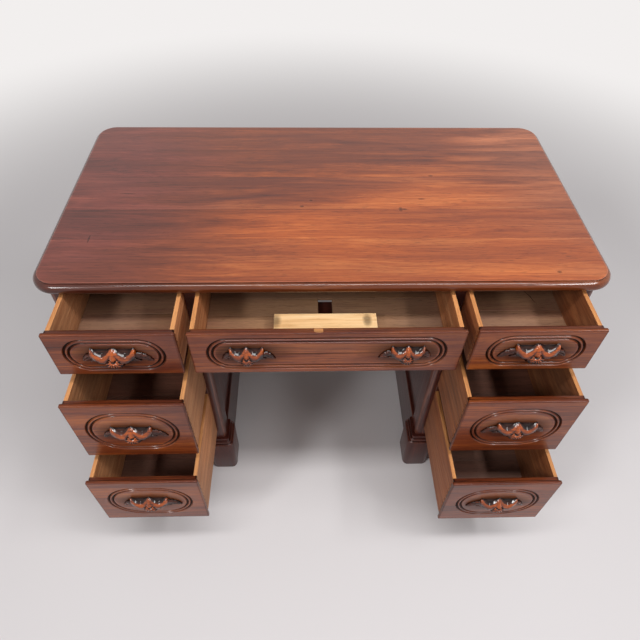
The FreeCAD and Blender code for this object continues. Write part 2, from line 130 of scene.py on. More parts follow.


# Wood with its grain along each board. The boards carry "grain", a point in the board's own
# wood in metres with X along the grain, "tone", how light this board is, "wearAndGlow", how rubbed
# the polish is there together with a painted glow, and "grimeAndShade", how much dirt and old
# polish lies in a hollow together with painted shade.
def woodMaterial(name, look):
    blend = blendLook
    material, add = newMaterial(name)
    grain = add("ShaderNodeAttribute", None, "Vector", attribute_name="grain")
    tone, wearAndGlow, grimeAndShade = (add("ShaderNodeAttribute", None, "Fac", attribute_name=mark)
                         for mark in ("tone", "wearAndGlow", "grimeAndShade"))
    place = add("ShaderNodeTexCoord", None, "Object")
    depth = add("ShaderNodeSeparateXYZ", {0: place}, 1)
    for n, joint in enumerate(look["joints"]):
        # Past a glue line lies another board, cut elsewhere and a little lighter or darker
        behind = add("ShaderNodeMath", {0: depth, 1: joint * mm}, operation="GREATER_THAN")
        shift = add("ShaderNodeVectorMath", {0: blend["boardShift"], "Scale": behind},
                    operation="SCALE")
        grain = add("ShaderNodeVectorMath", {0: grain, 1: shift})
        tone = add("ShaderNodeMath", {0: behind, 1: blend["boardTones"][n % 2], 2: tone},
                   operation="MULTIPLY_ADD")
        seam = add("ShaderNodeMath", {0: depth, 1: joint * mm, 2: look["seam"] / 2 * mm},
                   operation="COMPARE")
        grimeAndShade = add("ShaderNodeMath", {0: seam, 1: blend["seamGrime"], 2: grimeAndShade},
                    operation="MULTIPLY_ADD")

    def perMetre(along, across):
        return 1 / (along * mm), 1 / (across * mm), 1 / (across * mm)

    # The grain sways from side to side over its length
    length, width, amount = look["sway"]
    slow = add("ShaderNodeVectorMath", {0: grain, 1: perMetre(length, width)}, operation="MULTIPLY")
    sway = add("ShaderNodeTexNoise", {"Vector": slow, "Scale": 1.0, "Detail": 2.0})
    aside = add("ShaderNodeMath", {0: sway, 1: 2 * amount * mm, 2: -amount * mm},
                operation="MULTIPLY_ADD")
    aside = add("ShaderNodeCombineXYZ", {1: aside, 2: aside})
    grain = add("ShaderNodeVectorMath", {0: grain, 1: aside})

    def marksOf(kind, **inputs):
        # A mark in the wood is as long and as wide as it says, in millimetres
        spot = add("ShaderNodeVectorMath", {0: grain, 1: perMetre(*look[kind])}, operation="MULTIPLY")
        return add("ShaderNodeTexNoise", {"Vector": spot, "Scale": 1.0, **inputs})

    figure = marksOf("figure", Detail=5.0, Roughness=0.6, Distortion=0.9)
    streaks = marksOf("streak", Detail=4.0, Roughness=0.7, Distortion=0.25)
    patches = marksOf("patch", Detail=2.0)
    pores = marksOf("pore", Detail=2.0)

    blended = add("ShaderNodeMix", {0: blend["streakShare"], 2: figure, 3: streaks})
    toned = add("ShaderNodeMath", {0: tone, 1: look["toneSpread"], 2: blended},
                operation="MULTIPLY_ADD")
    places = (0.5 - look["spread"], 0.5, 0.5 + look["spread"])
    colour = add("ShaderNodeValToRGB", {0: toned},
                 stops=(places, (look["dark"], look["mid"], look["light"])))
    # Layers over the wood's own colour, each (share, colour), from the lowest up
    layers = []
    # Painted light and shade: zones warmer where light falls and darker where shade falls
    for centre, reach, amount, colours in look["paintedLightZones"]:
        near = nearness(add, place, centre, reach)
        broken = add("ShaderNodeMath", {0: figure, 1: blend["paintedLightBreak"], 2: near},
                     operation="MULTIPLY_ADD")
        layers.append((add("ShaderNodeValToRGB", {0: broken}, stops=(blend["paintedLightFade"], (0.0, amount))),
                       add("ShaderNodeValToRGB", {0: toned}, stops=(places, colours))))
    patchy = add("ShaderNodeValToRGB", {0: patches},
                 stops=(blend["patchFade"], (0.0, look["patchAmount"])))
    poreLine = add("ShaderNodeValToRGB", {0: pores}, stops=(blend["poreFade"], (1.0, 0.0)))
    poreShare = add("ShaderNodeMath", {0: poreLine, 1: look["poreAmount"]}, operation="MULTIPLY")
    # Faces turned up take the wear colour: rubbed wear, and a painted top light
    if look["topRubAndLight"]:
        facing = add("ShaderNodeTexCoord", None, "Normal")
        upward = add("ShaderNodeSeparateXYZ", {0: facing}, 2)
        wearAndGlow = add("ShaderNodeMath", {0: upward, 1: wearAndGlow}, operation="MAXIMUM")
    # Rubbed polish, and the painted glow, lighten towards the wear colour
    wornAndGlowing = add("ShaderNodeMath", {0: wearAndGlow, 1: streaks}, operation="MULTIPLY")
    wornAndGlowing = add("ShaderNodeValToRGB", {0: wornAndGlowing}, stops=(blend["wearAndGlowFade"], (0.0, blend["wearAndGlowAmount"])))
    for centre, reach in look["marks"]:
        # A small stain or dent with a broken edge
        near = nearness(add, place, centre, reach)
        stain = add("ShaderNodeMath", {0: near, 1: streaks}, operation="MULTIPLY")
        stain = add("ShaderNodeValToRGB", {0: stain},
                    stops=(blend["stainFade"], (0.0, blend["stainAmount"])))
        grimeAndShade = add("ShaderNodeMath", {0: grimeAndShade, 1: stain}, operation="MAXIMUM")
    # Dirt, and the painted shade, darken towards the grime colour
    grimyAndShaded = add("ShaderNodeValToRGB", {0: grimeAndShade}, stops=(blend["grimeAndShadeFade"], (0.0, blend["grimeAndShadeAmount"])))
    layers += [(share, toLinear(look[key])) for share, key in (
        (patchy, "patchColour"), (poreShare, "poreColour"), (wornAndGlowing, "wearAndGlowColour"), (grimyAndShaded, "grimeAndShadeColour"))]
    for share, upper in layers:
        colour = add("ShaderNodeMix", {0: share, 6: colour, 7: upper}, 2, data_type="RGBA")

    smooth, coarse = (look["roughness"] + step for step in blend["roughSpan"])
    rough = add("ShaderNodeMapRange", {
        "Value": streaks, "From Min": blend["roughFade"][0], "From Max": blend["roughFade"][1],
        "To Min": smooth, "To Max": coarse})
    # Old polish that lies thick in the mouldings is glossier, where its grime and painted shade lie
    rough = add("ShaderNodeMath", {0: grimeAndShade, 1: -look["thickGloss"], 2: rough},
                operation="MULTIPLY_ADD", use_clamp=True)
    # Dirt and painted shade are dull: there both the polish and the wood under it shine less
    shine = add("ShaderNodeMath", {0: grimeAndShade, 1: -look["dullness"], 2: 1.0},
                operation="MULTIPLY_ADD", use_clamp=True)
    specular, coat = (add("ShaderNodeMath", {0: shine, 1: look[key]}, operation="MULTIPLY")
                      for key in ("specular", "coat"))
    height = add("ShaderNodeMix", {0: blend["reliefShare"], 2: poreLine, 3: streaks})
    bump = add("ShaderNodeBump", {
        "Height": height, "Strength": look["bump"], "Distance": blend["relief"] * mm}, invert=True)
    shader = add("ShaderNodeBsdfPrincipled", {
        "Base Color": colour, "Roughness": rough, "Normal": bump, "IOR": 1.5,
        "Specular IOR Level": specular, "Coat Weight": coat, "Coat Roughness": look["coatRoughness"]})
    add("ShaderNodeOutputMaterial", {"Surface": shader})
    return material


# Marks in the wood are given as (length along the grain, width across it) in millimetres.
# Painted light zones, each a painted sheen or a painted shade, are (centre, reach, amount, its
# three colours) and stains (centre, reach), in the part's millimetres.
polishedLook = {
    "dark": "#431b10", "mid": "#70331e", "light": "#97502a", "spread": 0.21, "toneSpread": 0.04,
    "patchColour": "#5a3834", "patchAmount": 0.5,
    "poreColour": "#250e08", "poreAmount": 0.5, "wearAndGlowColour": "#b0735a", "grimeAndShadeColour": "#0f0503",
    "figure": (420, 30), "streak": (160, 3.0), "patch": (520, 260), "pore": (26, 1.5),
    "sway": (240, 60, 5), "roughness": 0.33, "thickGloss": 0.0, "bump": 0.2,
    "specular": 0.4, "coat": 0.2, "coatRoughness": 0.15, "dullness": 0.85, "topRubAndLight": False,
    "joints": (), "seam": 0.8, "paintedLightZones": (), "marks": (),
}
bareLook = {
    **polishedLook,
    "dark": "#54341f", "mid": "#7d5635", "light": "#a3784c", "spread": 0.17, "toneSpread": 0.09,
    "patchColour": "#5f4c3c", "patchAmount": 0.4,
    "poreColour": "#2c190e", "poreAmount": 0.45, "wearAndGlowColour": "#c98f57", "grimeAndShadeColour": "#120b07",
    "figure": (300, 22), "streak": (110, 2.6), "patch": (260, 160), "pore": (20, 1.3),
    "roughness": 0.62, "bump": 0.3, "coat": 0.0, "coatRoughness": 0.4,
}
materials = {
    # French-polished walnut, sanded fine: a satin sheen over long soft figure, with a painted
    # sheen, orange where the light falls, and painted shade, plum at the ends
    "desktop_walnut": woodMaterial("polishedWalnutDesktop", {
        **polishedLook, "dark": "#4c1e11", "mid": "#78391e", "light": "#a5552d", "spread": 0.19,
        "patchColour": "#552a24", "patchAmount": 0.4, "figure": (560, 44), "streak": (190, 3.4),
        "patch": (520, 150), "pore": (26, 1.8), "poreAmount": 0.42, "sway": (330, 95, 17),
        "roughness": 0.32, "thickGloss": 0.3, "specular": 0.22, "coat": 0.5, "coatRoughness": 0.09,
        "dullness": 0.1, "wearAndGlowColour": "#a06a5a",
        "joints": (-34, 67, 192, 305),
        # Painted sheen in the middle and at the right, and painted shade at the left
        "paintedLightZones": (((260, -60, 775), (600, 300, 900), 0.95, ("#7e3416", "#ad5728", "#d98044")),
                  ((-720, 190, 775), (440, 560, 900), 1.0, ("#431c16", "#70342a", "#984f3f")),
                  ((720, 280, 775), (330, 420, 900), 0.85, ("#6e3622", "#9a5637", "#c5774f"))),
        "marks": (((174, 66, 775), (7, 11, 9)), ((182, 66, 775), (10, 4, 9)),
                  ((226, 104, 775), (12, 4, 9)), ((-494, -33, 775), (3, 18, 9)),
                  ((-48, 77, 775), (7, 5, 9)), ((-27, 99, 775), (6, 4, 9)), ((262, 196, 775), (9, 4, 9)),
                  ((-446, 126, 775), (26, 3, 9)), ((470, -140, 775), (7, 5, 9)))}),
    # Polished walnut of posts and rails, darkened with age: nearly plum in the shade
    "carcass_walnut": woodMaterial("agedWalnutCarcass", {
        **polishedLook, "dark": "#2c100b", "mid": "#471d16", "light": "#642d1f",
        "patchColour": "#3c2421", "specular": 0.22, "coat": 0.3}),
    # Polished walnut of the drawer fronts: warm red-brown with a plum bloom
    "drawer_front_walnut": woodMaterial("polishedWalnutFront", {
        **polishedLook, "dark": "#3c150a", "mid": "#7c3819", "light": "#b46128",
        "spread": 0.17, "patchColour": "#4f2c29", "patchAmount": 0.6, "wearAndGlowColour": "#b46c3c",
        "roughness": 0.38, "specular": 0.14, "coat": 0.5, "coatRoughness": 0.2}),
    # Carved walnut under thick polish: glossy orange crests, and black hollows of dirt and painted shade
    "carved_walnut": woodMaterial("carvedWalnutPull", {
        **polishedLook, "dark": "#180706", "mid": "#5c2511", "light": "#a84d0f", "spread": 0.17,
        "toneSpread": 0.15, "patchAmount": 0.0, "figure": (60, 14), "streak": (30, 3),
        "poreAmount": 0.2, "wearAndGlowColour": "#b55c22", "bump": 0.03, "roughness": 0.36,
        "specular": 0.12, "coat": 0.85, "coatRoughness": 0.07}),
    # Planed and oiled drawer sides: tan, with top edges rubbed orange and painted lighter where they face
    # up
    "drawer_side_wood": woodMaterial("oiledDrawerSide", {
        **bareLook, "dark": "#763b1b", "mid": "#aa683d", "light": "#d59768", "spread": 0.22,
        "toneSpread": 0.12, "wearAndGlowColour": "#d09055", "topRubAndLight": True}),
    # Unfinished drawer linings, brown with age and dust, with painted shade making them darker and redder
    # in the deep drawers
    "drawer_lining_wood": woodMaterial("agedDrawerLining", {
        **bareLook, "dark": "#7d5a40", "mid": "#a67c59", "light": "#c49a72", "spread": 0.22,
        "patchColour": "#86695a",
        "paintedLightZones": [((x, -150, 330), (400, 900, 375), 1.0, ("#4c2e25", "#734839", "#8d5c48"))
                  for x in (-410, 410)]}),
    # Unfinished runners and glue blocks
    "runner_wood": woodMaterial("bareRunner", bareLook),
    # Newer pine, planed: pale yellow with fine brown lines, stained where its screws rusted
    "pine": woodMaterial("planedPine", {
        **bareLook, "dark": "#cf9d66", "mid": "#eec28c", "light": "#f8d5a4", "patchAmount": 0.15,
        "patchColour": "#d5a06c", "poreAmount": 0.15, "wearAndGlowColour": "#f6dcb0",
        "marks": (((-104, -172, 672), (16, 30, 30)), ((88, -172, 672), (14, 26, 26)))}),
}
print("materials made:", len(materials))


# Building blocks

# Seeds of the grain. Any other piece takes its seed from its name.
seeds = {
    "desktop": 11, "pedestal_back_frames": 21, "pedestal_back_panels": 22, "frieze_ends": 31,
    "frieze_dividers": 32, "frieze_runners": 33, "top_fixing_blocks": 34,
    "centre_drawer_batten": 41, "centre_drawer_lock_patch": 42,
}


def seedOf(name):
    return seeds.get(name, sum(ord(letter) * (n + 1) for n, letter in enumerate(name)))


class Wood:
    # Gathers boards into one mesh, each point with its grain, tone, wear and painted glow, and grime and
    # painted shade
    def __init__(self, name, seed=None):
        self.name = name
        self.mesh = bmesh.new()
        self.grain = self.mesh.verts.layers.float_vector.new("grain")
        self.marks = {mark: self.mesh.verts.layers.float.new(mark) for mark in ("tone", "wearAndGlow", "grimeAndShade")}
        self.random = random.Random(seed or seedOf(name))
        self.nextBoard(wide)

    def nextBoard(self, along):
        # What follows is another board, cut elsewhere from the tree
        self.along = along
        self.offset = Vector([self.random.uniform(-9, 9) for _ in range(3)])
        self.tone = self.random.uniform(-1, 1)

    def point(self, place, wearAndGlow=0.0, grimeAndShade=0.0):
        vertex = self.mesh.verts.new(place)
        turned = [place[(self.along + n) % 3] * mm for n in range(3)]
        vertex[self.grain] = Vector(turned) + self.offset
        for mark, value in (("tone", self.tone), ("wearAndGlow", wearAndGlow), ("grimeAndShade", grimeAndShade)):
            vertex[self.marks[mark]] = value
        return vertex

    def stack(self, loops):
        # Loops of (place, wear and painted glow, grime and painted shade), each with as many points, joined
        # one after another
        rings = [[self.point(*entry) for entry in loop] for loop in loops]
        for low, high in zip(rings, rings[1:]):
            for corners in zip(low, low[1:] + low[:1], high[1:] + high[:1], high):
                self.mesh.faces.new(corners)
        self.mesh.faces.new(rings[0][::-1])
        self.mesh.faces.new(rings[-1])

    def finish(self, slot, body, nodes=(), smoothAngle=40):
        bmesh.ops.remove_doubles(self.mesh, verts=self.mesh.verts, dist=0.002)
        bmesh.ops.recalc_face_normals(self.mesh, faces=self.mesh.faces)
        data = bpy.data.meshes.new(self.name)
        self.mesh.to_mesh(data)
        self.mesh.free()
        data.transform(Matrix.Scale(mm, 4))
        data.shade_smooth()
        data.set_sharp_from_angle(angle=math.radians(smoothAngle))
        data.materials.append(materials[slot])
        piece = makeObject(self.name, data)
        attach(piece, body)
        if nodes:
            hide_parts(*nodes)


boardLook = {"ease": 0.8, "shoulder": 3.5, "cornerSteps": 3}


# Outline round (0, 0) with four rounded corners, each (radius across, radius up), a shoulder
# point beside each corner where its wear ends, and more points along the straight sides.
# Each point is (across, up, how near a corner).
def roundedLoop(halfA, halfB, corners, steps, shoulder, between=0):
    points = []
    signs = ((1, 1), (-1, 1), (-1, -1), (1, -1))
    for n, (signA, signB) in enumerate(signs):
        roundA, roundB = corners[n]
        centreA, centreB = signA * (halfA - roundA), signB * (halfB - roundB)
        arc = []
        for step in range(steps + 1):
            angle = math.pi / 2 * (n + step / steps)
            arc.append((centreA + roundA * math.cos(angle), centreB + roundB * math.sin(angle), 1.0))
        reachA = min(shoulder, max(halfA - roundA, 0) * 0.9)
        reachB = min(shoulder, max(halfB - roundB, 0) * 0.9)
        besideA = (centreA - signA * reachA, signB * halfB, 0.0)
        besideB = (signA * halfA, centreB - signB * reachB, 0.0)
        before, after = (besideB, besideA) if n % 2 == 0 else (besideA, besideB)
        points.append([before] + arc + [after])
    loop = []
    for n, corner in enumerate(points):
        start, end = corner[-1], points[(n + 1) % 4][0]
        loop += corner
        for step in range(1, between + 1):
            share = step / (between + 1)
            loop.append((start[0] + (end[0] - start[0]) * share,
                         start[1] + (end[1] - start[1]) * share, 0.0))
    return loop


# Straight board in a box of three (low, high), with eased edges and its grain along one axis.
# rounds gives larger roundings to some of its four long edges.
def board(wood, x, y, z, along, rounds=(0, 0, 0, 0), wearAndGlow=0.6):
    wood.nextBoard(along)
    across, up = (along + 1) % 3, (along + 2) % 3
    box = (x, y, z)
    halfA, halfB = halfOf(box[across]), halfOf(box[up])
    ease = min(boardLook["ease"], halfA / 3, halfB / 3)
    radii = [max(ease, r) for r in rounds]
    shoulder = boardLook["shoulder"]
    length = box[along][1] - box[along][0]
    ends = [(0, ease, 1.0), (0.3 * ease, 0.3 * ease, 1.0), (ease, 0, 1.0),
            (min(ease + shoulder, length / 2), 0, 0.0)]
    loops = []
    for place, inset, edge in ends + [(length - place, inset, edge) for place, inset, edge in ends[::-1]]:
        corners = [(max(r - inset, 0.05),) * 2 for r in radii]
        loop = []
        for a, b, corner in roundedLoop(halfA - inset, halfB - inset, corners,
                                        boardLook["cornerSteps"], shoulder):
            spot = [0, 0, 0]
            spot[along] = box[along][0] + place
            spot[across] = middleOf(box[across]) + a
            spot[up] = middleOf(box[up]) + b
            loop.append((spot, wearAndGlow * max(edge, corner), 0.0))
        loops.append(loop)
    wood.stack(loops)


# A piece made only of straight boards, each (x, y, z, along) and perhaps its roundings
def makeBoards(node, boards, slot="carcass_walnut", body="carcass", seed=None):
    wood = Wood(node, seed)
    for entry in boards:
        board(wood, *entry)
    wood.finish(slot, body, [node])


# Desktop

desktopLook = {
    "cornerRadius": 50, "cornerSteps": 14, "shoulder": 30,
    "overRound": 11, "underRound": 8,        # nosing, above and below
    "underFlat": 20, "shelf": 0.4,           # flats under the nosing, and between it and the step
    # The nosing's rounds and underside get dirt and painted shade
    "arcSteps": 7, "mouldingGrimeAndShade": 0.55,
    "fieldInset": 10, "fieldRise": 2.5,      # the step inside the moulding
    # The step's foot over the moulding and its head under the field: inset, height, wear and painted glow,
    # grime and painted shade
    "stepFoot": ((-1.2, 0.1, 0, 0.5), (-0.2, 0.1, 0, 0.7)),
    "stepHead": ((0, -0.9, 0, 0.7), (0.3, -0.3, 0.7, 0), (0.9, 0, 0.7, 0), (4, 0, 0, 0)),
}


def makeDesktop():
    look = desktopLook
    x, y, (bottom, top) = cadMm("desktop")
    foot, inset, dirtAndShade = top - look["fieldRise"], look["fieldInset"], look["mouldingGrimeAndShade"]
    under, over = look["underRound"], look["overRound"]
    angles = [math.pi / 2 * step / look["arcSteps"] for step in range(look["arcSteps"] + 1)]
    profile = [(under + look["underFlat"], bottom, 0, 0), (under, bottom, 0, 0)]
    profile += [(under * (1 - math.sin(angle)), bottom + under * (1 - math.cos(angle)), 0, dirtAndShade)
                for angle in angles[1:]]
    profile += [(min(over * (1 - math.cos(angle)), inset - look["shelf"]),
                 foot - over * (1 - math.sin(angle)), 0.1, dirtAndShade) for angle in angles]
    for level, step in ((foot, look["stepFoot"]), (top, look["stepHead"])):
        profile += [(inset + further, level + rise, wearAndGlow, grimeAndShade) for further, rise, wearAndGlow, grimeAndShade in step]
    loops = []
    for inset, height, wearAndGlow, grimeAndShade in profile:
        outline = roundedLoop(halfOf(x) - inset, halfOf(y) - inset,
                              [(look["cornerRadius"] - inset,) * 2] * 4, look["cornerSteps"],
                              look["shoulder"])
        loops.append([((middleOf(x) + a, middleOf(y) + b, height), wearAndGlow, grimeAndShade) for a, b, _ in outline])
    wood = Wood("desktop")
    wood.stack(loops)
    wood.finish("desktop_walnut", "carcass", ["desktop"], 35)


makeDesktop()
print("desktop made")


# Carcass

carcassLook = {
    "postRound": 11, "backRound": 3,         # front and back edges of the posts
    "tongue": 6,                             # how far a panel sits in its frame's grooves
    "friezePost": 62,
    "backSetback": 0.4,                      # of the back frames, from the feet and posts beside them
    "blockSpots": (-409.25, -157.2, 0, 157.2, 409.25), "blockLength": 60,
}


def sideFrames():
    footTop = cadMm("left_feet")[tall][1]
    tongue = carcassLook["tongue"]
    front, back = carcassLook["postRound"], carcassLook["backRound"]
    for side, sign in sideSign.items():
        for place in ("outer", "inner"):
            x, y, z = cadMm(f"{side}_{place}_frame")
            panelX, panelY, panelZ = cadMm(f"{side}_{place}_panel")
            innerY = (panelY[0] + tongue, panelY[1] - tongue)
            innerZ = (panelZ[0] + tongue, panelZ[1] - tongue)
            # Long edges in the order +X+Y, -X+Y, -X-Y, +X-Y
            if (sign > 0) == (place == "outer"):
                frontRounds, backRounds = (0, 0, 0, front), (back, 0, 0, 0)
            else:
                frontRounds, backRounds = (0, 0, front, 0), (0, back, 0, 0)
            makeBoards(f"{side}_{place}_frame", [
                (x, (y[0], innerY[0]), (footTop, z[1]), tall, frontRounds),
                (x, (innerY[1], y[1]), (footTop, z[1]), tall, backRounds),
                (x, innerY, (innerZ[1], z[1]), deep),
                (x, innerY, (z[0], innerZ[0]), deep)])
            makeBoards(f"{side}_{place}_panel", [(panelX, innerY, innerZ, tall)])


def backFrames():
    tongue = carcassLook["tongue"]
    x, y, z = cadMm("pedestal_back_frames")
    panelX, panelY, panelZ = cadMm("pedestal_back_panels")
    innerZ = (panelZ[0] + tongue, panelZ[1] - tongue)
    stile = panelX[0] + tongue - x[0]
    depth = (y[0], y[1] - carcassLook["backSetback"])
    frames, panels = [], []
    for side, sign in sideSign.items():
        x0, x1 = sorted((cadMm(f"{side}_inner_frame")[wide][sign > 0],
                         cadMm(f"{side}_outer_frame")[wide][sign < 0]))
        between = (x0 + stile, x1 - stile)
        frames += [((start, start + stile), depth, z, tall) for start in (x0, x1 - stile)]
        frames += [(between, depth, height, wide) for height in ((z[0], innerZ[0]), (innerZ[1], z[1]))]
        panels.append((between, panelY, innerZ, tall))
    makeBoards("pedestal_back_frames", frames)
    makeBoards("pedestal_back_panels", panels)


# Gaps between a drawer's sides and its opening, and the rails' and runners' own sizes
railLook = {"sideDrop": 3, "runGap": 0.4, "sideGap": 1, "bottomRail": 22, "runner": 20}


def frontRails():
    flat = cadMm("frieze_bottom_rail")[deep][1]
    for side in sideSign:
        middleZ = cadMm(f"middle_{side}_drawer_sides")[tall]
        bottomZ = cadMm(f"bottom_{side}_drawer_sides")[tall]
        top = middleZ[1] + railLook["sideDrop"]
        middle = (bottomZ[1] + railLook["sideDrop"], middleZ[0] - railLook["runGap"])
        bottom = bottomZ[0] - railLook["runGap"]
        x, y, z = cadMm(f"{side}_front_rails")
        makeBoards(f"{side}_front_rails", [
            (x, (y[0], flat), (top, z[1]), wide),
            (x, (y[0], flat), middle, wide),
            (x, (y[0], y[0] + railLook["bottomRail"]), (z[0], bottom), wide)])
        x, y, z = cadMm(f"{side}_drawer_runners")
        runners = []
        for start in (x[0], x[1] - railLook["runner"]):
            across = (start, start + railLook["runner"])
            runners += [(across, (flat, y[1]), (top, z[1]), deep),
                        (across, (flat, y[1]), middle, deep),
                        (across, y, (z[0], bottom), deep)]
        makeBoards(f"{side}_drawer_runners", runners, "runner_wood")


def frieze():
    for node in ("frieze_back", "frieze_top_rail", "frieze_bottom_rail"):
        makeBoards(node, [(*cadMm(node), wide)])
    # The front of each end is a post with a rounded corner, as on the pedestals
    x, y, z = cadMm("frieze_ends")
    thick = x[1] - cadMm("frieze_back")[wide][1]
    post, radius = y[0] + carcassLook["friezePost"], carcassLook["postRound"]
    boards = []
    for start, rounds in ((x[0], (0, 0, radius, 0)), (x[1] - thick, (0, 0, 0, radius))):
        across = (start, start + thick)
        boards += [(across, (y[0], post), z, tall, rounds), (across, (post, y[1]), z, deep)]
    makeBoards("frieze_ends", boards)
    # The dividers' front ends are upright boards, flush with the bottom rail's back
    x, y, z = cadMm("frieze_dividers")
    gap, runner = railLook["sideGap"], railLook["runner"]
    centreEnd = cadMm("centre_drawer_sides")[wide][1]
    thick = cadMm("top_right_drawer_sides")[wide][0] - gap - centreEnd - gap
    flat = cadMm("frieze_bottom_rail")[deep][1]
    height = (z[0], cadMm("frieze_top_rail")[tall][0])
    boards = []
    for start in (x[0], x[1] - thick):
        across = (start, start + thick)
        boards += [(across, (y[0], flat), height, tall), (across, (flat, y[1]), height, deep)]
    makeBoards("frieze_dividers", boards)
    x, y, z = cadMm("frieze_runners")
    boards = []
    for start, width in ((centreEnd + gap - runner, 2 * runner + thick), (x[1] - runner, runner)):
        boards += [((start, start + width), y, z, deep), ((-start - width, -start), y, z, deep)]
    makeBoards("frieze_runners", boards, "runner_wood")
    _, y, z = cadMm("top_fixing_blocks")
    half = carcassLook["blockLength"] / 2
    makeBoards("top_fixing_blocks", [((spot - half, spot + half), y, z, wide)
                                     for spot in carcassLook["blockSpots"]], "runner_wood")


sideFrames()
backFrames()
frontRails()
frieze()
print("carcass made")


# Feet

footLook = {
    "width": 71.5, "depth": 86, "round": 15, "cornerSteps": 7, "shoulder": 6,
    # Profile from the floor up: how far in, and how high
    "profile": ((2.0, 0), (0.6, 0.6), (0, 2.5), (0, 124), (0.8, 127), (3, 128.6), (6, 129.2),
                (7.4, 130.4), (6.2, 131.6), (5.1, 133.6), (5.0, 135.4), (5.9, 137.6),
                (7.6, 138.9), (9.6, 139.4), (10.4, 140.6), (10, 143), (10, 151)),
    "hollows": (129.2, 131.6, 139.4, 140.6), "grimeAndShade": 0.5,
    "crests": (127, 128.6, 133.6, 135.4, 137.6), "wearAndGlow": 0.5,
}


def makeFeet():
    look = footLook
    halfA, halfB = look["width"] / 2, look["depth"] / 2
    for side in sideSign:
        node = f"{side}_feet"
        x, y, _ = cadMm(node)
        wood = Wood(node)
        for x0 in (x[0], x[1] - look["width"]):
            for y0 in (y[0], y[1] - look["depth"]):
                wood.nextBoard(tall)
                loops = []
                for inset, height in look["profile"]:
                    outline = roundedLoop(halfA - inset, halfB - inset, [(look["round"] - inset,) * 2] * 4,
                                          look["cornerSteps"], look["shoulder"])
                    wearAndGlow = look["wearAndGlow"] if height in look["crests"] else 0.0
                    grimeAndShade = look["grimeAndShade"] if height in look["hollows"] else 0.0
                    loops.append([((x0 + halfA + a, y0 + halfB + b, height), wearAndGlow, grimeAndShade)
                                  for a, b, _ in outline])
                wood.stack(loops)
        wood.finish("carcass_walnut", "carcass", [node], 50)


makeFeet()
print("feet made")


# Drawers

frontLook = {
    "rebate": 10, "rebateRise": 2, "rebateGap": 0.4, "rebateEase": 0.6, "rebateCorner": 0.4,
    "edgeRound": 2.2, "cornerRound": 3.0, "leastCorner": 0.8, "shoulder": 5,
    "edgeSteps": 4, "edgeShoulder": 1.5, "edgeRub": 0.05, "shoulderRub": 0.1,
    "backChamfer": 1.6, "chamferShade": (1.0, 0.9), "topGrime": 0.44, "scallopDarkening": 0.85,
    "ovalLength": 196, "centreEndMargin": 30,
    "topMargin": 12, "tallMargin": 26, "topEnd": 47, "tallEnd": 76,
    "grooveWidth": 6.0, "grooveBead": 3.0, "grooveDepth": 3.2, "grooveEdge": 1.2, "grooveSteps": 8,
    # Dirt and painted shade in the grooves, with a painted highlight on their walls that face up
    "grooveDirtAndShade": (0.3, 0.7), "grooveUpWallHighlight": 0.85, "cornerSteps": 16,
    "between": 10,                           # points along each straight side
    # The upper field's painted glow, and the field's darkening round each pull
    "fieldLoops": 9, "fieldGlow": 0.75, "glowFrom": -20, "glowOver": 30,
    "halo": 0.68, "haloWidth": 68, "haloHeight": 30, "haloRise": 4, "haloEnd": 1.55, "haloFade": 0.8,
}


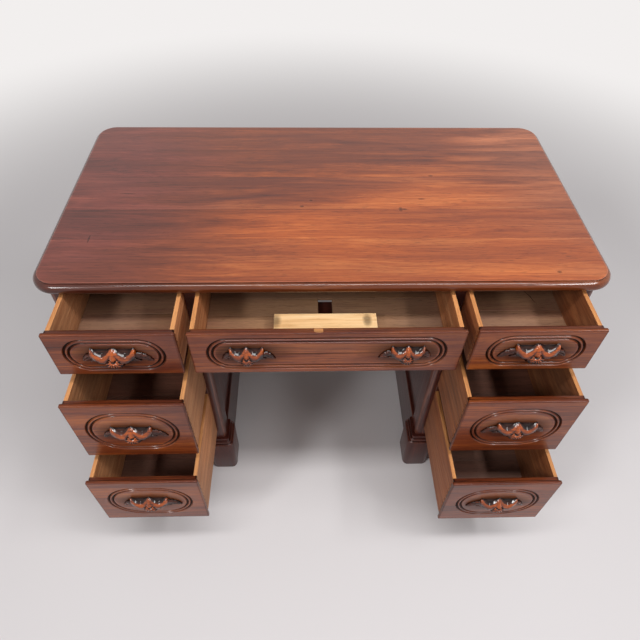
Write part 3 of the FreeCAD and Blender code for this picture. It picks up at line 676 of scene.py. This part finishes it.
def makeFront(name):
    look = frontLook
    node = f"{name}_drawer_front"
    x, (face, back), z = cadMm(node)
    boxX, _, boxZ = cadMm(f"{name}_drawer_sides")
    wood = Wood(node)
    wood.nextBoard(wide)
    lipBack = back - look["rebate"]
    halfA, halfB, middleX, middleZ = halfOf(x), halfOf(z), middleOf(x), middleOf(z)
    loops = []

    def addLoop(a, b, radii, place, wearAndGlow=0.0, grimeAndShade=0.0, up=middleZ):
        # Wear and painted glow, and grime and painted shade, are values, or functions of the place across
        # and up from the middle
        loop = []
        for u, v, _ in roundedLoop(a, b, [radii] * 4, look["cornerSteps"], look["shoulder"],
                                   look["between"]):
            marks = [mark(u, v) if callable(mark) else mark for mark in (wearAndGlow, grimeAndShade)]
            loop.append(((middleX + u, place, up + v), *marks))
        loops.append(loop)

    # The rebated part behind the lip, a little narrower than the drawer's sides
    rebateA, ease = halfOf(boxX) - look["rebateGap"], look["rebateEase"]
    rebateZ = (boxZ[0], boxZ[1] + look["rebateRise"])

    def rebateDarkening(u, v):
        # Darker between the scallops at its ends
        return look["scallopDarkening"] if abs(u) > rebateA - 1 else look["topGrime"]

    for inset, place in ((ease, back), (0.0, back - ease), (0.0, lipBack)):
        addLoop(rebateA - inset, halfOf(rebateZ) - inset, (look["rebateCorner"],) * 2, place,
                0.0, rebateDarkening, middleOf(rebateZ))
    # The lip, with painted shade on its chamfered back edge, and its rounded front edge
    corner, r, slant = look["cornerRound"], look["edgeRound"], look["backChamfer"]
    addLoop(halfA - slant, halfB - slant, (corner, corner), lipBack, 0.0, look["chamferShade"][0])
    addLoop(halfA, halfB, (corner, corner), lipBack - slant, 0.0, look["chamferShade"][1])
    addLoop(halfA, halfB, (corner, corner), lipBack - slant - 0.5, 0.0, look["topGrime"])
    for step in range(look["edgeSteps"] + 1):
        angle = math.pi / 2 * step / look["edgeSteps"]
        inset = r * (1 - math.cos(angle))
        addLoop(halfA - inset, halfB - inset, (max(corner - inset, look["leastCorner"]),) * 2,
                face + r * (1 - math.sin(angle)), look["edgeRub"], look["topGrime"] * 0.8)
    for shoulder, rub in ((look["edgeShoulder"], look["shoulderRub"]), (look["shoulder"], 0.0)):
        addLoop(halfA - r - shoulder, halfB - r - shoulder, (1, 1), face, rub)
    # The double groove, a rounded hollow each side of a bead
    isTall = name.startswith(("middle", "bottom"))
    ovalB = halfB - (look["tallMargin"] if isTall else look["topMargin"])
    end = look["tallEnd"] if isTall else look["topEnd"]
    ovalA = halfA - look["centreEndMargin"] if name == "centre" else look["ovalLength"] / 2

    def addOval(inset, place, wearAndGlow=0.0, grimeAndShade=0.0):
        radii = (max(end - inset, 1), max(ovalB - inset, 1))
        addLoop(ovalA - inset, ovalB - inset, radii, place, wearAndGlow, grimeAndShade)

    def grooveDirtAndShade(hollow, slope):
        # Dirt and painted shade in the hollow; its wall that faces up is left clean as a painted highlight,
        # lighter and glossier
        least, more = look["grooveDirtAndShade"]
        return lambda u, v: ((least + more * hollow)
                             * (1 - look["grooveUpWallHighlight"] * max(-slope * v / ovalB, 0) ** 2))

    width, bead, edge = look["grooveWidth"], look["grooveBead"], look["grooveEdge"]
    addOval(-edge, face)
    for start in (0, width + bead):
        for n in range(look["grooveSteps"] + 1):
            turn = math.pi * n / look["grooveSteps"]
            addOval(start + width * n / look["grooveSteps"],
                    face + look["grooveDepth"] * math.sin(turn) ** 0.75, 0.0,
                    grooveDirtAndShade(math.sin(turn), math.cos(turn)))
        addOval(start + width + edge, face)
        if start == 0:
            addOval(width + bead - edge, face)
    # The field inside, with a painted glow above its foot, and darker round each pull
    fieldInset = 2 * width + bead + edge
    spread = pullLook["centreSpread"]
    pulls = (-spread, spread) if name == "centre" else (0,)

    # Painted glow, lighter towards the field's top
    def fieldGlow(u, v):
        return look["fieldGlow"] * min(max((v - look["glowFrom"]) / look["glowOver"], 0), 1)

    def fieldDarkening(u, v):
        near = min(math.hypot((u - pull) / look["haloWidth"], (v - look["haloRise"]) / look["haloHeight"])
                   for pull in pulls)
        return look["halo"] * min(max((look["haloEnd"] - near) / look["haloFade"], 0), 1)

    for n in range(1, look["fieldLoops"] + 1):
        addOval(fieldInset + (ovalB - fieldInset - 2) * n / look["fieldLoops"], face,
                fieldGlow, fieldDarkening)
    wood.stack(loops)
    wood.finish("drawer_front_walnut", f"{name}_drawer", [node], 55)
    return middleX, face, middleZ


# Drawer sides: their front ends are cut in scallops that lie in the front's own scallops
sideLook = {
    "thickness": 8.5, "ease": 0.6, "scallopRadius": 8, "scallopPitch": 20, "arcSteps": 10,
    "tones": {"left": 1.0, "centre": 0.2, "right": -0.9},
}


def makeSides(name):
    look = sideLook
    node = f"{name}_drawer_sides"
    x, y, z = cadMm(node)
    wood = Wood(node)
    radius, pitch = look["scallopRadius"], look["scallopPitch"]
    joint = y[0] + radius
    count = int((z[1] - z[0]) / pitch)
    first = middleOf(z) - (count - 1) / 2 * pitch
    heights = [first + n * pitch for n in range(count)]
    outline = [(y[1], z[0]), (y[1], z[1]), (joint, z[1])]
    for height in reversed(heights):
        for step in range(look["arcSteps"] + 1):
            angle = math.pi * (0.5 + step / look["arcSteps"])
            outline.append((joint + radius * math.cos(angle), height + radius * math.sin(angle)))
    outline.append((joint, z[0]))
    for start in (x[0], x[1] - look["thickness"]):
        wood.nextBoard(deep)
        wood.tone = look["tones"][name.split("_")[-1]]
        wood.stack([[((across, *place), 0.0, 0.0) for place in outline]
                    for across in (start, start + look["thickness"])])
    caps = {edge for f in wood.mesh.faces if len(f.verts) > 4 for edge in f.edges}
    bmesh.ops.bevel(wood.mesh, geom=list(caps), offset=look["ease"], segments=2, profile=0.6,
                    affect="EDGES", clamp_overlap=True)
    wood.finish("drawer_side_wood", f"{name}_drawer", [node])
    return joint, heights


# Each scallop is held by a round pin, whose domed end shows on the drawer's side
pinLook = {"radius": 3.6, "thickness": 3.0, "proud": 0.45, "segments": 18, "rings": 10}


# Geometry Nodes: a row of pins up each of two sides
def pinTree():
    look = pinLook
    tree = bpy.data.node_groups.new("scallopPins", "GeometryNodeTree")
    add = partial(addNode, tree)
    for name, kind in (("Count", "NodeSocketInt"), ("Start", "NodeSocketVector"),
                       ("Pitch", "NodeSocketVector"), ("Across", "NodeSocketVector"),
                       ("Size", "NodeSocketVector"), ("Material", "NodeSocketMaterial")):
        tree.interface.new_socket(name, in_out="INPUT", socket_type=kind)
    tree.interface.new_socket("Geometry", in_out="OUTPUT", socket_type="NodeSocketGeometry")
    given = add("NodeGroupInput").node.outputs
    row = add("GeometryNodeMeshLine", {
        "Count": given["Count"], "Start Location": given["Start"], "Offset": given["Pitch"]})
    other = add("GeometryNodeTransform", {"Geometry": row, "Translation": given["Across"]})
    rows = add("GeometryNodeJoinGeometry", {"Geometry": row})
    tree.links.new(other, rows.node.inputs["Geometry"])
    pin = add("GeometryNodeMeshUVSphere", {
        "Segments": look["segments"], "Rings": look["rings"], "Radius": 1.0})
    placed = add("GeometryNodeInstanceOnPoints", {
        "Points": rows, "Instance": pin, "Scale": given["Size"]})
    real = add("GeometryNodeRealizeInstances", {"Geometry": placed})
    smooth = add("GeometryNodeSetShadeSmooth", {"Geometry": real})
    finished = add("GeometryNodeSetMaterial", {"Geometry": smooth, "Material": given["Material"]})
    add("NodeGroupOutput", {"Geometry": finished})
    return tree


def makePins(name, joint, heights, tree):
    look = pinLook
    x = cadMm(f"{name}_drawer_sides")[wide]
    inside = look["thickness"] - look["proud"]
    start, end = x[0] + inside, x[1] - inside
    values = {
        "Count": len(heights), "Start": (start * mm, joint * mm, heights[0] * mm),
        "Pitch": (0, 0, sideLook["scallopPitch"] * mm), "Across": ((end - start) * mm, 0, 0),
        "Size": (look["thickness"] * mm, look["radius"] * mm, look["radius"] * mm),
        "Material": materials["drawer_front_walnut"]}
    holder = makeObject("pinHolder", bpy.data.meshes.new("pinHolder"))
    modifier = holder.modifiers.new("pins", "NODES")
    modifier.node_group = tree
    for item in tree.interface.items_tree:
        if item.in_out == "INPUT":
            modifier[item.identifier] = values[item.name]
    evaluated = holder.evaluated_get(bpy.context.evaluated_depsgraph_get())
    data = bpy.data.meshes.new_from_object(evaluated)
    bpy.data.objects.remove(holder)
    piece = makeObject(f"{name}_drawer_pins", data)
    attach(piece, f"{name}_drawer")


# A drawer's bottom, glued up of planks, and its back
liningLook = {
    "plank": 128, "longestPlank": 1.4,       # as a share of the others
    "slot": {"x": (-13.9, 17.1), "setback": 119, "length": 50},
    # A crack in the top right drawer's bottom: its line in X and Y, its width, depth and height
    "crack": ((453, -57), (458, -72), (465, -83), (469, -97), (474, -108)), "crackWidth": 1.5,
    "crackDepth": 0.5, "crackHeight": 0.12,
}


def makeLining(name):
    look = liningLook
    node, body = f"{name}_drawer_bottom", f"{name}_drawer"
    _, y, z = cadMm(node)
    x = cadMm(f"{name}_drawer_sides")[wide]
    x0, x1 = x[0] + sideLook["thickness"], x[1] - sideLook["thickness"]
    wood = Wood(node, seedOf(name))
    slot = look["slot"]
    slotLow = y[0] + slot["setback"]
    cuts = [y[0], slotLow, slotLow + slot["length"]] if name == "centre" else [y[0]]
    while y[1] - cuts[-1] > look["plank"] * look["longestPlank"]:
        cuts.append(cuts[-1] + look["plank"])
    for plank in zip(cuts, cuts[1:] + [y[1]]):
        atSlot = name == "centre" and plank[0] == slotLow
        for across in ((x0, slot["x"][0]), (slot["x"][1], x1)) if atSlot else ((x0, x1),):
            board(wood, across, plank, z, wide, wearAndGlow=0)
    if name == "top_right":
        half, line = look["crackWidth"] / 2, look["crack"]
        shares = [math.sin(math.pi * (n + 0.1) / (len(line) - 0.8)) for n in range(len(line))]
        edge = [(x - half * s, y) for (x, y), s in zip(line, shares)]
        edge += [(x + half * s, y) for (x, y), s in reversed(list(zip(line, shares)))]
        wood.stack([[((x, y, height), 0, 1.0) for x, y in edge]
                    for height in (z[1] - look["crackDepth"], z[1] + look["crackHeight"])])
    wood.finish("drawer_lining_wood", body, [node])
    node = f"{name}_drawer_back"
    makeBoards(node, [(*cadMm(node), wide)], "drawer_lining_wood", body, seedOf(name) + 1)


# The mortise of a lost lock in the centre front's top edge, plugged with an offcut
patchLook = {
    "middle": -18, "proud": 0.15, "sunk": 1.0, "edge": 0.15, "taper": 0.95, "wearAndGlow": 0.5,
    # Outlines across the desk and behind the front's face: on the lip, and on the rebate behind it
    "onLip": ((-7.6, 4.4), (-4, 2.9), (3, 2.4), (8.6, 3.2), (9.2, 6.9), (-8.8, 6.9)), "lipGrime": 0.42,
    "onRebate": ((-8.8, 8.8), (9.2, 8.8), (8.6, 17.2), (-8, 17.6)),
}


def makeLockPatch():
    look = patchLook
    _, (face, _), (_, lipTop) = cadMm("centre_drawer_front")
    rebateTop = cadMm("centre_drawer_sides")[tall][1] + frontLook["rebateRise"]
    wood = Wood("centre_drawer_lock_patch")
    wood.nextBoard(wide)
    for outline, top, grimeAndShade in ((look["onLip"], lipTop, look["lipGrime"]),
                                (look["onRebate"], rebateTop, 0.0)):
        middleY = sum(y for _, y in outline) / len(outline)
        wood.stack([[((look["middle"] + x * share, face + middleY + (y - middleY) * share, height),
                      look["wearAndGlow"], grimeAndShade) for x, y in outline]
                    for share, height in ((1, top - look["sunk"]),
                                          (1, top + look["proud"] - look["edge"]),
                                          (look["taper"], top + look["proud"]))])
    wood.finish("drawer_side_wood", "centre_drawer")


# Carved pulls

# A pull is carved as a height over the drawer's front: a nose between two finger cups, a
# bunch of grapes under it, and leaves to both sides. Seen from the front, u runs towards the
# longer leaf and v upwards from the nose, in millimetres.
pullLook = {
    "cell": 0.8,                             # how finely the carving is cut
    "centreSpread": 156,                     # from the middle of the centre drawer to its pulls
    "centreScale": (0.76, 0.92, 0.92),       # the centre drawer's pulls are smaller
    "cupAt": 21.4, "cupHalf": 17.6,          # a cup's middle, and from there to its rim's ends
    "rimLow": 7, "rimRise": 13, "rimReach": 13.5, "rimFall": 5.5,
    "cupFloor": 3.6, "cupEdge": (0.3, 6), "cupTop": (12, 25), "hornAt": 45, "hornCut": 15,
    "bodyFoot": -11, "footRise": 10, "grapeRise": 14, "grapeWidth": 13,
    "bulge": 4.4, "bulgeFall": 0.45, "fallOver": 40, "underCut": 26, "underTurn": (0.86, 1.25),
    "flutes": 13, "fluteDepth": 0.7, "fluteFrom": 24, "fluteSpan": (0.35, 0.8),
    "noseHeights": ((-3, -2), (-1, 14), (2, 18), (6, 19), (12, 15.5), (20, 9.5), (23, 6), (24.5, -2)),
    "noseHalf": ((-2, 6.5), (4, 5.6), (14, 4.2), (24, 3.0)), "noseFall": 4.6, "noseRidge": 1.35,
    "grapes": {"at": -12, "half": 22, "tall": 15.5, "reach": 20.5, "pitch": 7.4, "depth": 5.4},
    "fingers": ((-82, 28), (-60, 27), (-41, 25), (-22, 23), (0, 21),
                (22, 23), (41, 25), (60, 27), (82, 28)),
    "fingerHalf": 1.35, "fingerLift": 1.3,
    # Start, end, bow, half width, reach and veins. Two leaves lie behind, and the curls repeat
    # under both horns.
    "leaves": (((30, 6), (73, -15), 5, 10, 6.5, 5), ((-30, 5), (-64, -14), -4, 10, 6, 4)),
    "curls": (((19, -4), (50, -14), 2, 5.5, 8, 3), ((31, 2), (56, 3), 3, 5.5, 8.5, 3)),
    # Painted shade: the cup's dark tone and dirt, and the body's darkening and dirt towards its foot
    "footShade": 2.2, "tones": {"body": 0.7, "crest": 0.9, "leaves": -0.45, "grapes": -0.9, "cup": -0.9},
    "dirtAndShade": {"grapes": 0.5, "leaves": 0.35, "foot": 0.45, "cup": 0.3},
    "span": (-66, 75), "rise": (-29, 29),    # what is carved, along u and v
    "absent": -2,                            # the height where nothing is carved
    "under": 1,                              # how far its back lies in the drawer's front
    "soften": 0.8,                           # the knife's edges are worn round by this much
    "blur": 2.6,                             # hollows narrower than this gather dirt
    "hollowDirt": 0.22, "mostDirt": 0.7, "crestRise": 1.2, "crestRub": 0.35,
    "edgeHeight": 3, "edgeDirt": 0.5, "drawnFrom": 0.3, "lowest": -0.4,
}


def smoothStep(low, high, value):
    share = np.clip((value - low) / (high - low), 0, 1)
    return share * share * (3 - 2 * share)


def smoothMax(first, second, width):
    share = np.clip(0.5 + 0.5 * (first - second) / width, 0, 1)
    return second * (1 - share) + first * share + width * share * (1 - share)


# A pointed leaf from start to end, bowed sideways, folded along its midrib, with a few veins
def blade(u, v, start, end, bow, halfWidth, reach, veins):
    length = math.dist(start, end)
    alongU, alongV = (end[0] - start[0]) / length, (end[1] - start[1]) / length
    share = ((u - start[0]) * alongU + (v - start[1]) * alongV) / length
    inside = (share > 0) & (share < 1)
    share = np.clip(share, 0.001, 0.999)
    across = -(u - start[0]) * alongV + (v - start[1]) * alongU - bow * 4 * share * (1 - share)
    scallop = 1 - 0.16 * np.abs(np.sin(math.pi * share * veins))
    half = halfWidth * np.sin(math.pi * share ** 0.7) ** 0.7 * scallop + 0.01
    near = np.clip(np.abs(across) / half, 0, 1)
    fold = 1.5 * np.exp(-(across / 1.1) ** 2)
    vein = 0.7 * np.abs(np.sin(math.pi * (share * veins - 0.7 * near))) ** 2
    height = reach * (1 - 0.35 * share) * (1 - near ** 3) ** 0.5 + 1.2 * near * (1 - near) - fold
    height = height + vein * near * (1 - near) * 2.2
    return np.where(inside & (near < 1), height, pullLook["absent"])


# Round berries in rows, each row half a berry further along than the last
def berries(u, v, pitch):
    rowHeight = pitch * 0.87
    best = np.full_like(u, pitch)
    base = np.floor(v / rowHeight)
    for step in (-1, 0, 1):
        row = base + step
        shift = np.mod(row, 2) * pitch / 2
        nearestU = np.round((u - shift) / pitch) * pitch + shift
        best = np.minimum(best, np.hypot(u - nearestU, v - row * rowHeight))
    return np.sqrt(np.clip(1 - (best / (pitch * 0.56)) ** 2, 0, 1))


def carvedForm(u, v):
    look = pullLook
    side = np.abs(u)
    bow = np.minimum(((side - look["cupAt"]) / look["cupHalf"]) ** 2, 1)
    rim = look["rimLow"] + look["rimRise"] * bow
    rimReach = look["rimReach"] - look["rimFall"] * bow
    # Above the rim lies the hollow of the cup, which runs out into the drawer's front
    cup = look["cupFloor"] + (rimReach - look["cupFloor"]) * (1 - smoothStep(*look["cupEdge"], v - rim))
    cup = cup - (look["cupFloor"] + 1) * smoothStep(*look["cupTop"], v)
    # Below it the body swells, then turns under
    foot = (look["bodyFoot"] + look["footRise"] * (side / look["hornAt"]) ** 2
            + look["grapeRise"] * np.exp(-(side / look["grapeWidth"]) ** 4))
    drop = np.clip((rim - v) / (rim - foot), 0, 1.4)
    fall = 1 - look["bulgeFall"] * side / look["fallOver"]
    swell = look["bulge"] * fall * np.sin(math.pi * np.clip(drop, 0, 1) * 0.72)
    body = rimReach + swell - look["underCut"] * smoothStep(*look["underTurn"], drop)
    flutes = np.abs(np.sin(np.arctan2(u, look["fluteFrom"] - v) * look["flutes"]))
    body = body - look["fluteDepth"] * flutes * smoothStep(*look["fluteSpan"], drop)
    lobes = np.where(v > rim, cup, body)
    lobes = lobes - look["hornCut"] * smoothStep(look["hornAt"] - 3.5, look["hornAt"] + 1, side)
    # Nose with a sharp ridge
    crest = np.interp(v, *zip(*look["noseHeights"]))
    noseHalf = np.interp(v, *zip(*look["noseHalf"]))
    nose = crest - look["noseFall"] * (side / noseHalf) ** look["noseRidge"]
    nose = np.where(v < look["noseHeights"][0][0], look["absent"], nose)
    # Grapes
    grape = look["grapes"]
    dome = np.clip(1 - (u / grape["half"]) ** 2 - ((v - grape["at"]) / grape["tall"]) ** 2, 0, 1)
    mound = grape["reach"] * dome ** 0.4
    grapes = mound - grape["depth"] * (1 - berries(u, v, grape["pitch"]))
    grapes = np.where(dome > 0, grapes, look["absent"])
    # Fingers of the leaf reach down over the grapes
    fingers = np.full_like(u, look["absent"])
    for turn, length in look["fingers"]:
        lean = math.radians(turn)
        share = (u * math.sin(lean) - v * math.cos(lean)) / length
        across = u * math.cos(lean) + v * math.sin(lean)
        half = look["fingerHalf"] * np.clip(1 - share, 0, 1) ** 0.5 + 0.01
        top = np.maximum(np.maximum(mound, body), 4) + look["fingerLift"] * (1 - share)
        ridge = np.where((share > 0.2) & (share < 1) & (np.abs(across) < half),
                         top - 2.0 * (across / half) ** 2, look["absent"])
        fingers = np.maximum(fingers, ridge)
    leaves = [blade(u, v, *leaf) for leaf in look["leaves"]]
    for sign in (1, -1):
        leaves += [blade(u, v, (sign * start[0], start[1]), (sign * end[0], end[1]), sign * bend, *rest)
                   for start, end, bend, *rest in look["curls"]]
    leaves = np.max(leaves, axis=0)

    height = np.max([smoothMax(lobes, nose, 1.0), leaves, grapes, fingers], axis=0)
    # Painted shade in the hollow of each cup
    shadedCup = (v > rim + 2) & (cup >= height - 1.5)
    # The crests are rubbed light, and painted shade darkens the body towards its foot, where it turns under
    tones, dirtsAndShades = look["tones"], look["dirtAndShade"]
    onLeaves, onGrapes = leaves >= height - 0.1, grapes >= height - 0.1
    tone = tones["body"] - look["footShade"] * smoothStep(0.15, 0.9, drop)
    tone = np.where((nose >= height - 0.6) | (fingers >= height - 0.1), tones["crest"], tone)
    for part, where in (("leaves", onLeaves), ("grapes", onGrapes), ("cup", shadedCup)):
        tone = np.where(where, tones[part], tone)
    dirtAndShade = np.where(onGrapes, dirtsAndShades["grapes"], 0.0) + np.where(onLeaves, dirtsAndShades["leaves"], 0.0)
    dirtAndShade = dirtAndShade + np.where(lobes >= height - 0.5, dirtsAndShades["foot"] * smoothStep(0.45, 1.0, drop), 0)
    return height, tone, np.where(shadedCup, dirtsAndShades["cup"], dirtAndShade)


def blurred(values, cells):
    reach = int(cells * 2.5)
    weights = np.exp(-0.5 * (np.arange(-reach, reach + 1) / cells) ** 2)
    weights /= weights.sum()
    for side in (0, 1):
        values = np.apply_along_axis(lambda row: np.convolve(row, weights, "same"), side, values)
    return values


def carvePull(wood, middle, mirror, scale):
    look = pullLook
    middleX, face, middleZ = middle
    cell = look["cell"]
    u, v = np.meshgrid(np.arange(*look["span"], cell / scale[0]),
                       np.arange(*look["rise"], cell / scale[1]), indexing="ij")
    height, tone, dirtAndShade = carvedForm(u, v)
    height = np.where(height > 0, blurred(height, look["soften"] / cell), height)
    solid = np.maximum(height, 0)
    soft = blurred(solid, look["blur"] / cell)
    hollow = np.clip((soft - solid) * look["hollowDirt"], 0, look["mostDirt"]) + dirtAndShade
    crestWear = np.clip((solid - soft - look["crestRise"]) * look["crestRub"], 0, 1)
    edge = np.clip(1 - solid / look["edgeHeight"], 0, 1) * look["edgeDirt"]
    wood.nextBoard(wide)
    top, under = {}, {}
    drawn = height > look["drawnFrom"]
    cells = drawn[:-1, :-1] | drawn[1:, :-1] | drawn[:-1, 1:] | drawn[1:, 1:]
    rings = {(i, j): ((i, j), (i + 1, j), (i + 1, j + 1), (i, j + 1)) for i, j in zip(*np.nonzero(cells))}
    for ring in rings.values():
        for spot in ring:
            if spot not in top:
                x = middleX + mirror * scale[0] * u[spot]
                z = middleZ + scale[1] * v[spot]
                lift = max(height[spot], look["lowest"]) * scale[2]
                wood.tone = tone[spot]
                top[spot] = wood.point((x, face - lift, z), crestWear[spot], hollow[spot] + edge[spot])
                under[spot] = wood.point((x, face + look["under"], z), 0, 1)
    faces = wood.mesh.faces
    for (i, j), ring in rings.items():
        faces.new([top[spot] for spot in ring])
        faces.new([under[spot] for spot in ring[::-1]])
        besides = ((i, j - 1), (i + 1, j), (i, j + 1), (i - 1, j))
        for first, second, beside in zip(ring, ring[1:] + ring[:1], besides):
            if beside not in rings:
                faces.new([top[second], top[first], under[first], under[second]])
    flat = list(under.values())
    bmesh.ops.dissolve_limit(wood.mesh, angle_limit=0.01, verts=flat,
                             edges=list({edge for vertex in flat for edge in vertex.link_edges
                                         if edge.other_vert(vertex).co.y == vertex.co.y}))


def makePulls(name, middle):
    node = f"{name}_drawer_pull"
    wood = Wood(node)
    if name == "centre":
        for side in (-1, 1):
            place = (middle[0] + side * pullLook["centreSpread"], *middle[1:])
            carvePull(wood, place, -side, pullLook["centreScale"])
    else:
        carvePull(wood, middle, -1 if name.endswith("right") else 1, (1, 1, 1))
    wood.finish("carved_walnut", f"{name}_drawer", [node], 70)


pins = pinTree()
for name in drawerNames:
    makePulls(name, makeFront(name))
    makePins(name, *makeSides(name), pins)
    makeLining(name)
makeBoards("centre_drawer_batten", [(*cadMm("centre_drawer_batten"), wide)], "pine", "centre_drawer")
makeLockPatch()
print("drawers made:", len(drawerNames))


# Camera, light and floor

cameraLook = {
    "place": (-43.46, -918.19, 1521.76),     # millimetres
    "pitch": 48.7286, "yaw": 2.4485, "roll": -1.3830,
    "focalPixels": 540.916, "imagePixels": 640, "sensor": 36.0,
}


def addCamera():
    look = cameraLook
    pitch, yaw, roll = (math.radians(look[key]) for key in ("pitch", "yaw", "roll"))
    forward = Vector((math.sin(yaw) * math.cos(pitch), math.cos(yaw) * math.cos(pitch),
                      -math.sin(pitch)))
    level = Vector((math.cos(yaw), -math.sin(yaw), 0))
    down = forward.cross(level)
    right = math.cos(roll) * level + math.sin(roll) * down
    below = -math.sin(roll) * level + math.cos(roll) * down
    data = bpy.data.cameras.new("camera")
    data.sensor_width = look["sensor"]
    data.lens = look["focalPixels"] / look["imagePixels"] * look["sensor"]
    data.clip_start = 0.05
    camera = makeObject("camera", data)
    turn = Matrix((right, -below, -forward)).transposed()
    camera.matrix_world = Matrix.Translation(Vector(look["place"]) * mm) @ turn.to_4x4()
    bpy.context.scene.camera = camera


# Three soft lamps under the ceiling: a long one across in front of the desk, one to each side
lampLook = (
    # Name, place and target in metres, width and depth in metres, watts
    ("frontLamp", (0.1, -0.75, 2.96), (0.1, 0.0, 0.4), (2.6, 0.30), 41),
    ("leftLamp", (-2.3, -2.4, 3.2), (0.0, -0.1, 0.5), (0.5, 0.9), 50),
    ("rightLamp", (1.95, -1.3, 2.96), (0.0, -0.1, 0.5), (0.30, 2.0), 46),
)


def addLamps():
    for name, place, target, size, watts in lampLook:
        data = bpy.data.lights.new(name, "AREA")
        data.shape = "RECTANGLE"
        data.size, data.size_y = size
        data.energy = watts
        lamp = makeObject(name, data)
        lamp.location = place
        # The lamp faces its target, and its depth keeps lying along the desk's depth
        facing = (Vector(place) - Vector(target)).normalized()
        side = Vector((0, 1, 0)).cross(facing).normalized()
        turn = Matrix((side, facing.cross(side), facing)).transposed()
        lamp.rotation_euler = turn.to_euler()


floorLook = {
    "size": 30.0, "colour": "#d9d5d6", "roughness": 0.7,
    "fadeStart": 1.5, "fadeEnd": 3.2,        # metres from the desk's middle
    "backColour": "#f2efee", "light": 0.24,  # the world as seen, and how strongly it lights
}


# Rays that see the background itself: the camera's, and those in gloss and glass
def seenDirectly(add):
    path = add("ShaderNodeLightPath").node.outputs
    seen = path["Is Camera Ray"]
    for other in ("Is Glossy Ray", "Is Transmission Ray"):
        seen = add("ShaderNodeMath", {0: seen, 1: path[other]}, operation="MAXIMUM")
    return seen


def addFloor():
    look = floorLook
    material, add = newMaterial("paleMattFloor")
    matt = add("ShaderNodeBsdfPrincipled", {
        "Base Color": toLinear(look["colour"]), "Roughness": look["roughness"], "IOR": 1.5})
    pale = add("ShaderNodeEmission", {"Color": toLinear(look["backColour"]), "Strength": 1.0})
    place = add("ShaderNodeTexCoord", None, "Object")
    away = add("ShaderNodeVectorMath", {0: place}, "Value", operation="LENGTH")
    fade = add("ShaderNodeMapRange", {
        "Value": away, "From Min": look["fadeStart"], "From Max": look["fadeEnd"]},
        interpolation_type="SMOOTHSTEP")
    share = add("ShaderNodeMath", {0: fade, 1: seenDirectly(add)}, operation="MULTIPLY")
    mixed = add("ShaderNodeMixShader", {0: share, 1: matt, 2: pale})
    add("ShaderNodeOutputMaterial", {"Surface": mixed})
    half = look["size"] / 2
    data = bpy.data.meshes.new("floor")
    data.from_pydata([(-half, -half, 0), (half, -half, 0), (half, half, 0), (-half, half, 0)], [],
                     [(0, 1, 2, 3)])
    data.materials.append(material)
    makeObject("floor", data)


def addWorld():
    world = bpy.data.worlds.new("studio")
    world.use_nodes = True
    add = partial(addNode, world.node_tree)
    strength = add("ShaderNodeMapRange", {
        "Value": seenDirectly(add), "To Min": floorLook["light"], "To Max": 1.0})
    background = world.node_tree.nodes["Background"]
    background.inputs["Color"].default_value = toLinear(floorLook["backColour"])
    world.node_tree.links.new(strength, background.inputs["Strength"])
    bpy.context.scene.world = world


addCamera()
addLamps()
addFloor()
addWorld()
bpy.context.scene.view_settings.view_transform = "Standard"
print("stage set")
